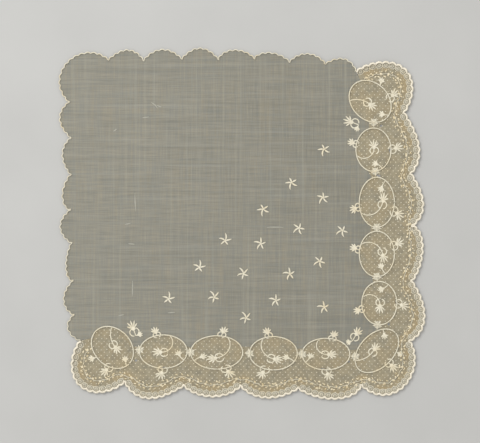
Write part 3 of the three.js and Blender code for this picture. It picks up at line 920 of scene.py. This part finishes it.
for number, (kind, *where) in enumerate(MEDALLIONS, 1):
    work = ([], [])
    chart = new_chart()
    for around, *branch in SPRAYS[kind]:
        branch_strokes(chart, on_loop(kind, [around])[0], *branch)
    add_spray(work, chart, where)
    if number <= len(joints):
        (x, y), turn = joints[number - 1]
        add_spray(work, star_chart(turn), ("right", 1, x, y, 1.0, 1.0), JOINT_FINENESS)
    spray_piece = new_piece(f"medallion_spray_{number:02d}", *work)
    spray_piece.data.materials.append(cream_material)
    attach(spray_piece, "root")
    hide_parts(f"medallion_{number:02d}")

# ---------------------------------------------------------------------------
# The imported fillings. At each joint the net between the cords is darned over closely with finer
# thread, so that it stands as a pale patch behind the satin strokes.
FILLING_HEIGHT = 0.25
FILLING_HALF = 4.4
filling_material, filling_tree, filling_shader = toned_material(
    "packed_filling", 0.9, 420.0, (176, 170, 152), (200, 195, 177)
)
bump_on(filling_tree, filling_shader, weave_of(filling_tree, WAVE_SCALE), THREAD_DEPTH, 0.8)

filling_work = ([], [])
for (x, y), _ in joints:
    add_bud(filling_work, x, y, FILLING_HALF, FILLING_HALF, FILLING_HEIGHT, DOME_RINGS)
joint_fillings = new_piece("joint_fillings", *filling_work)
joint_fillings.data.materials.append(filling_material)
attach(joint_fillings, "root")

# ---------------------------------------------------------------------------
# The loose sprays on the lawn beside the three corner medallions, worked as the others are.
# Each is two branches from one root: out, along, heading, length, turn and size.
LOOSE_SPRAYS = [
    ([(-14, -28, 160, 9, 0, 1.1), (-14, -28, 250, 3, 0, 0.6)], MEDALLIONS[0]),
    ([(-27, 8, 60, 9, 0, 1), (-27, 8, 200, 3, 0, 0.6)], MEDALLIONS[5]),
    ([(-14, -28, 160, 9, 0, 1.1), (-14, -28, 250, 3, 0, 0.6)], MEDALLIONS[10]),
]
for number, (rows, (_, *where)) in enumerate(LOOSE_SPRAYS, 1):
    work = ([], [])
    chart = new_chart()
    for out, along, *branch in rows:
        branch_strokes(chart, (out, along), *branch)
    add_spray(work, chart, where)
    loose_piece = new_piece(f"loose_spray_{number:02d}", *work)
    loose_piece.data.materials.append(cream_material)
    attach(loose_piece, "root")
    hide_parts(f"corner_spray_{number:02d}")

# ---------------------------------------------------------------------------
# The sprigs. Seventeen small sprigs scattered over the lower right half of the lawn: five leaves
# round one middle, some of them bent, each sprig turned its own way.
# Each leaf sets off from the middle at a heading, has a length and turns evenly.
SPRIG_LEAVES = [(47, 8, 8), (92, 9.5, 65), (165, 8, 60), (255, 6.5, 0), (333, 6, 20)]
SPRIGS = [
    (97, 91, 135), (58, 51, 135), (96, 33, 115), (24, 19, 138), (67, -4, 95), (119, -7, 87),
    (-22, -19, -36), (21, -23, 40), (92, -44, 87), (-53, -51, -38), (56, -59, 50), (0, -59, 0),
    (-35, -87, 0), (-90, -89, -36), (39, -91, 40), (97, -99, 50), (3, -112, 0),
]

for number, (x, y, turn) in enumerate(SPRIGS, 1):
    work = ([], [])
    chart = new_chart()
    for heading, length, bend in SPRIG_LEAVES:
        chart["leaves"].append((0, 0, heading + turn, length, bend))
    add_spray(work, chart, ("right", 1, x, y, 1.0, 1.0))
    sprig_piece = new_piece(f"lawn_sprig_{number:02d}", *work)
    sprig_piece.data.materials.append(cream_material)
    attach(sprig_piece, "root")
    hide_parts(f"sprig_{number:02d}")

# ---------------------------------------------------------------------------
# The edge of the lawn. A cream cord worked over with buttonhole stitch along its small scallops.
edge_line = joined([scalloped_lobe(number, EDGE_INSET) for number in left_lobes + top_lobes])
lawn_edge = corded("lawn_edge", [(edge_line, False)], EDGE_CORD_RADIUS, cream_material)
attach(lawn_edge, "root")

# ---------------------------------------------------------------------------
# The vine of the net. One thin thread runs along inside the edging, with a knot every few stitches
# and small darned leaves at both sides of it.
VINE_INSET = 13.8
VINE_STEPS = 640
VINE_SOFTENING = 13
# It sways in two waves: the second is a share of the first's size and length.
VINE_SWAY, VINE_SWAY_LENGTH = 0.55, 13.0
SECOND_SWAY, SECOND_LENGTH = 0.6, 0.58
VINE_RADIUS = 0.5
KNOT_GAP, KNOT_HALF = 10.0, 1.5
VINE_LEAF_GAP, VINE_LEAF_AWAY = 2.9, 2.6
VINE_LEAF_HALF = (1.7, 0.9)
KNOT_HEIGHT = 0.5
VINE_SEED = 11

golden_material, *golden_parts = toned_material(
    "golden_cotton", 0.8, 160.0, (200, 184, 148), (231, 219, 190), detail=3.0
)
strands_on(*golden_parts)

vine_path = joined([inset_lobe(number, VINE_INSET) for number in lace_lobes])
vine_path = walk(vine_path, VINE_STEPS)
reach = VINE_SOFTENING // 2
padded_path = np.vstack([vine_path[:1]] * reach + [vine_path] + [vine_path[-1:]] * reach)
softening = np.hanning(VINE_SOFTENING + 2)[1:-1]
softening /= softening.sum()
vine_path = np.column_stack([np.convolve(column, softening, "valid") for column in padded_path.T])
vine_travel = np.linspace(0, length_of(vine_path), len(vine_path))
sway = VINE_SWAY * np.sin(2 * np.pi * vine_travel / VINE_SWAY_LENGTH)
second_length = VINE_SWAY_LENGTH * SECOND_LENGTH
sway += VINE_SWAY * SECOND_SWAY * np.sin(2 * np.pi * vine_travel / second_length + 1)
vine_path = vine_path + left_of(vine_path) * sway[:, None]
vine_thread = corded("vine_thread", [(vine_path, False)], VINE_RADIUS, cream_material)
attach(vine_thread, "root")


def marked_copies(tree, points, instance):
    """Copies of an instance on marked points, each turned to its heading and stretched."""
    marks = [
        add_node(tree, "GeometryNodeInputNamedAttribute", {"Name": name}, data_type="FLOAT_VECTOR")
        for name in ("heading", "stretch")
    ]
    turn = add_node(tree, "FunctionNodeEulerToRotation", {"Euler": marks[0].outputs[0]}).outputs[0]
    sockets = {"Points": points, "Instance": instance, "Rotation": turn, "Scale": marks[1].outputs[0]}
    return add_node(tree, "GeometryNodeInstanceOnPoints", sockets).outputs[0]


def marked_points(name, rows):
    """A mesh of loose points for a tree, each with its place, heading and stretch."""
    mesh = bpy.data.meshes.new(name)
    mesh.from_pydata([tuple(float(v) * MM for v in place) for place, _, _ in rows], [], [])
    headings = mesh.attributes.new("heading", "FLOAT_VECTOR", "POINT")
    stretches = mesh.attributes.new("stretch", "FLOAT_VECTOR", "POINT")
    headings.data.foreach_set("vector", [v for _, heading, _ in rows for v in (0, 0, heading)])
    stretches.data.foreach_set("vector", [v for _, _, stretch in rows for v in stretch])
    return link_piece(name, mesh)


knot_sizes = {"Radius": "Float", "Material": "Material"}
knot_tree, knot_in, knot_out = new_node_tree("vine_leaves", knot_sizes)
knot_ball = add_node(
    knot_tree, "GeometryNodeMeshUVSphere", {"Segments": 8, "Rings": 5, "Radius": knot_in["Radius"]}
)
knot_copies = marked_copies(knot_tree, knot_in["Geometry"], knot_ball.outputs[0])
finish_tree(knot_tree, knot_copies, knot_in["Material"], knot_out)

vine_draws = np.random.default_rng(VINE_SEED)
vine_left = left_of(vine_path)
vine_rows = []


def mark_vine(travel, away, half_long, half_wide, swing):
    """Marks a knot or leaf at a travel along the vine, away from it to the left."""
    at = int(np.clip(np.searchsorted(vine_travel, travel), 0, len(vine_path) - 1))
    x, y = vine_path[at] + vine_left[at] * away
    heading = math.atan2(-vine_left[at][0], vine_left[at][1]) + swing
    stretch = (half_long, half_wide, KNOT_HEIGHT)
    vine_rows.append(((x, y, cloth_height(x, y) + SATIN_LIFT), heading, stretch))


travel = KNOT_GAP / 2
while travel < vine_travel[-1]:
    size = KNOT_HALF * vine_draws.uniform(0.8, 1.15)
    mark_vine(travel, vine_draws.uniform(-0.8, 0.8), size * 1.1, size, vine_draws.uniform(-1, 1))
    travel += KNOT_GAP * vine_draws.uniform(0.8, 1.2)
travel, side = VINE_LEAF_GAP, 1
while travel < vine_travel[-1]:
    away = side * VINE_LEAF_AWAY * vine_draws.uniform(0.45, 1.45)
    half_long, half_wide = [half * vine_draws.uniform(0.75, 1.15) for half in VINE_LEAF_HALF]
    mark_vine(travel, away, half_long, half_wide, side * vine_draws.uniform(0.1, 1.0))
    travel += VINE_LEAF_GAP * vine_draws.uniform(0.6, 1.4)
    side = -side

vine_leaves = worked_piece(
    "vine_leaves",
    marked_points("vine_places", vine_rows),
    knot_tree,
    {"Radius": MM, "Material": golden_material},
)
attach(vine_leaves, "root")

# ---------------------------------------------------------------------------
# The roundel edging of the net. A row of small rings filled with open stitches, side by side all
# along the lace edge, closed off by a thick scalloped rim.
RIM_RADIUS, RIM_INSET = 1.5, 1.7
rim_material, *rim_parts = toned_material(
    "rim_cotton", 0.8, 260.0, (220, 212, 193), (238, 230, 212)
)
strands_on(*rim_parts)
rim_line = joined([scalloped_lobe(number, RIM_INSET) for number in lace_lobes])
lace_rim = corded("lace_rim", [(rim_line, False)], RIM_RADIUS, rim_material)
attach(lace_rim, "root")

ring_tree, ring_in, ring_out = new_node_tree(
    "edge_rings",
    {
        "Ring Radius": "Float",
        "Ring Width": "Float",
        "Inner Radius": "Float",
        "Film Thickness": "Float",
        "Thread": "Material",
        "Film": "Material",
    },
)


def ring_part(radius, width, sides):
    """A ring of thread of a radius, in nodes."""
    loop, section = [
        add_node(ring_tree, "GeometryNodeCurvePrimitiveCircle", {"Resolution": count, "Radius": size})
        for count, size in [(sides, radius), (4, width)]
    ]
    body = {"Curve": loop.outputs[0], "Profile Curve": section.outputs[0]}
    return add_node(ring_tree, "GeometryNodeCurveToMesh", body).outputs[0]


OUTER_SIDES, INNER_SIDES = 14, 10
outer_ring = ring_part(ring_in["Ring Radius"], ring_in["Ring Width"], OUTER_SIDES)
inner_ring = ring_part(ring_in["Inner Radius"], ring_in["Ring Width"], INNER_SIDES)
threads = add_node(ring_tree, "GeometryNodeJoinGeometry")
for part in (outer_ring, inner_ring):
    ring_tree.links.new(part, threads.inputs[0])
film_disc = add_node(
    ring_tree,
    "GeometryNodeMeshCylinder",
    {
        "Vertices": OUTER_SIDES,
        "Radius": ring_in["Ring Radius"],
        "Depth": ring_in["Film Thickness"],
    },
)
thread_paint, film_paint = [
    add_node(ring_tree, "GeometryNodeSetMaterial", {"Geometry": part, "Material": ring_in[name]})
    for part, name in [(threads.outputs[0], "Thread"), (film_disc.outputs[0], "Film")]
]
whole_ring = add_node(ring_tree, "GeometryNodeJoinGeometry")
for part in (thread_paint, film_paint):
    ring_tree.links.new(part.outputs[0], whole_ring.inputs[0])
ring_copies = marked_copies(ring_tree, ring_in["Geometry"], whole_ring.outputs[0])
ring_real = add_node(ring_tree, "GeometryNodeRealizeInstances", {"Geometry": ring_copies})
ring_smooth = add_node(ring_tree, "GeometryNodeSetShadeSmooth", {"Geometry": ring_real.outputs[0]})
ring_tree.links.new(ring_smooth.outputs[0], ring_out[0])

film_material, *_ = toned_material(
    "open_filling", 0.9, 900.0, (164, 159, 143), (194, 189, 173), alpha=0.75, span=(0.4, 0.6)
)

RING_RADIUS, INNER_RADIUS, RING_WIDTH = 3.7, 1.7, 0.36
RING_INSET, RING_LIFT = 3.5, 0.15
FILM_THICKNESS = 0.12
WIDEST_RING = 1.1
ring_rows = []
for number in lace_lobes:
    count = scallop_count(number)
    line = walk(lobe_curve(number), count * 2)
    outward = left_of(line)
    pitch = length_of(line) / count
    for place, out in zip(line[1::2], outward[1::2]):
        x, y = place - out * RING_INSET
        heading = math.atan2(out[1], out[0])
        stretch = (1.0, min(WIDEST_RING, pitch / (2 * RING_RADIUS)), 1.0)
        ring_rows.append(((x, y, cloth_height(x, y) + RING_LIFT), heading, stretch))

edge_rings = worked_piece(
    "edge_rings",
    marked_points("ring_places", ring_rows),
    ring_tree,
    {
        "Ring Radius": RING_RADIUS * MM,
        "Ring Width": RING_WIDTH * MM,
        "Inner Radius": INNER_RADIUS * MM,
        "Film Thickness": FILM_THICKNESS * MM,
        "Thread": cream_material,
        "Film": film_material,
    },
)
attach(edge_rings, "root")

# ---------------------------------------------------------------------------
# Pulled threads of the lawn: a few whitish slubs that wear has lifted out of the weave.
PULLED_HALF, PULLED_HEIGHT = 0.75, 0.14
PULLED_SPAN = (0.08, 0.92)
# Each is its place, its heading, its length, and how far it turns.
PULLED_THREADS = [
    (-130, 38, -90, 22, 4),
    (-111, 147, -25, 11, -35),
    (-104, 143.5, -30, 6, 20),
    (-121, 128.5, 4, 8, 8),
    (-156, 112, 35, 5, 0),
    (-142, 0.5, 8, 7, 10),
    (-138, -22.5, -5, 8, 0),
    (-133, -67, -88, 19, -6),
    (-150, -109, 10, 7, 0),
    (-91, -105.5, 4, 9, 0),
    (28, -3, 2, 20, -4),
]
pulled_material, *_ = toned_material(
    "pulled_thread", 0.85, 300.0, (152, 151, 141), (165, 163, 152), detail=3.0
)
pulled_work = ([], [])
for row in PULLED_THREADS:
    line = stroke_line(*row)
    halves = PULLED_HALF * np.sin(np.pi * np.linspace(*PULLED_SPAN, len(line)))
    add_ridge(pulled_work, line, halves, ROUND_SECTION, PULLED_HEIGHT)
pulled_threads = new_piece("pulled_threads", *pulled_work)
pulled_threads.data.materials.append(pulled_material)
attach(pulled_threads, "root")

# ---------------------------------------------------------------------------
# The dots of the net: small knots of cream thread in staggered rows, all over its ground.
DOT_PITCH, DOT_ROW = 6.3, 3.4
DOT_RADIUS, DOT_STRAYING = 0.74, 0.9
DOT_SHAPE = (1.0, 0.9, 0.45)
DOT_COLUMNS, DOT_ROWS = 72, 130
DOT_SEED = 7
# Each dot is dropped on the net from this height in metres, over this length.
DROP_FROM, DROP_LENGTH = 0.02, 0.05

dot_tree, dot_in, dot_out = new_node_tree(
    "net_dots",
    {
        "Net": "Object",
        "Pitch": "Float",
        "Row Gap": "Float",
        "Columns": "Int",
        "Rows": "Int",
        "Dot Radius": "Float",
        "Straying": "Float",
        "Seed": "Int",
        "Material": "Material",
    },
)


def vector_of(operation, first, second):
    kind = "ShaderNodeVectorMath"
    return add_node(dot_tree, kind, {0: first, 1: second}, operation=operation).outputs[0]


dot_width = math_of(dot_tree, "MULTIPLY", dot_in["Pitch"], dot_in["Columns"])
dot_height = math_of(dot_tree, "MULTIPLY", dot_in["Row Gap"], dot_in["Rows"])
dot_grid = add_node(
    dot_tree,
    "GeometryNodeMeshGrid",
    {
        "Size X": dot_width,
        "Size Y": dot_height,
        "Vertices X": math_of(dot_tree, "ADD", dot_in["Columns"], 1),
        "Vertices Y": math_of(dot_tree, "ADD", dot_in["Rows"], 1),
    },
)
dot_place = add_node(dot_tree, "GeometryNodeInputPosition").outputs[0]
dot_parts = add_node(dot_tree, "ShaderNodeSeparateXYZ", {0: dot_place})
dot_lines = math_of(dot_tree, "DIVIDE", dot_parts.outputs["Y"], dot_in["Row Gap"])
dot_odd = math_of(dot_tree, "FLOORED_MODULO", math_of(dot_tree, "ROUND", dot_lines, 0), 2)
half_pitch = math_of(dot_tree, "MULTIPLY", dot_in["Pitch"], 0.5)
dot_shift = math_of(dot_tree, "MULTIPLY", dot_odd, half_pitch)
dot_stray = add_node(
    dot_tree, "FunctionNodeRandomValue", {"Seed": dot_in["Seed"]}, data_type="FLOAT_VECTOR"
)
dot_centred = vector_of("SUBTRACT", dot_stray.outputs[0], (0.5, 0.5, 0.5))
dot_scaled = {0: dot_centred, "Scale": dot_in["Straying"]}
dot_strayed = add_node(dot_tree, "ShaderNodeVectorMath", dot_scaled, operation="SCALE")
dot_step = add_node(dot_tree, "ShaderNodeCombineXYZ", {"X": dot_shift})
dot_offset = vector_of("ADD", dot_strayed.outputs[0], dot_step.outputs[0])
dot_moved = {"Geometry": dot_grid.outputs[0], "Offset": dot_offset}
dot_lattice = add_node(dot_tree, "GeometryNodeSetPosition", dot_moved)
dot_net = add_node(dot_tree, "GeometryNodeObjectInfo", {"Object": dot_in["Net"]})
dot_source = vector_of("ADD", dot_place, (0, 0, DROP_FROM))
dot_ray = add_node(
    dot_tree,
    "GeometryNodeRaycast",
    {
        "Target Geometry": dot_net.outputs["Geometry"],
        "Source Position": dot_source,
        "Ray Direction": (0, 0, -1),
        "Ray Length": DROP_LENGTH,
    },
)
dot_hit = dot_ray.outputs["Is Hit"]
dot_missed = add_node(dot_tree, "FunctionNodeBooleanMath", {0: dot_hit}, operation="NOT")
dot_seated = add_node(
    dot_tree,
    "GeometryNodeSetPosition",
    {
        "Geometry": dot_lattice.outputs[0],
        "Position": dot_ray.outputs["Hit Position"],
        "Selection": dot_hit,
    },
)
dot_lost = {"Geometry": dot_seated.outputs[0], "Selection": dot_missed.outputs[0]}
dot_kept = add_node(dot_tree, "GeometryNodeDeleteGeometry", dot_lost)
dot_ball = {"Radius": dot_in["Dot Radius"], "Subdivisions": 1}
dot_knot = add_node(dot_tree, "GeometryNodeMeshIcoSphere", dot_ball)
dot_copies = add_node(
    dot_tree,
    "GeometryNodeInstanceOnPoints",
    {"Points": dot_kept.outputs[0], "Instance": dot_knot.outputs[0], "Scale": DOT_SHAPE},
)
finish_tree(dot_tree, dot_copies.outputs[0], dot_in["Material"], dot_out)

net_dots = worked_piece(
    "net_dots",
    line_mesh("dot_places", []),
    dot_tree,
    {
        "Net": net_cloth,
        "Pitch": DOT_PITCH * MM,
        "Row Gap": DOT_ROW * MM,
        "Columns": DOT_COLUMNS,
        "Rows": DOT_ROWS,
        "Dot Radius": DOT_RADIUS * MM,
        "Straying": DOT_STRAYING * MM,
        "Seed": DOT_SEED,
        "Material": cream_material,
    },
)
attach(net_dots, "root")
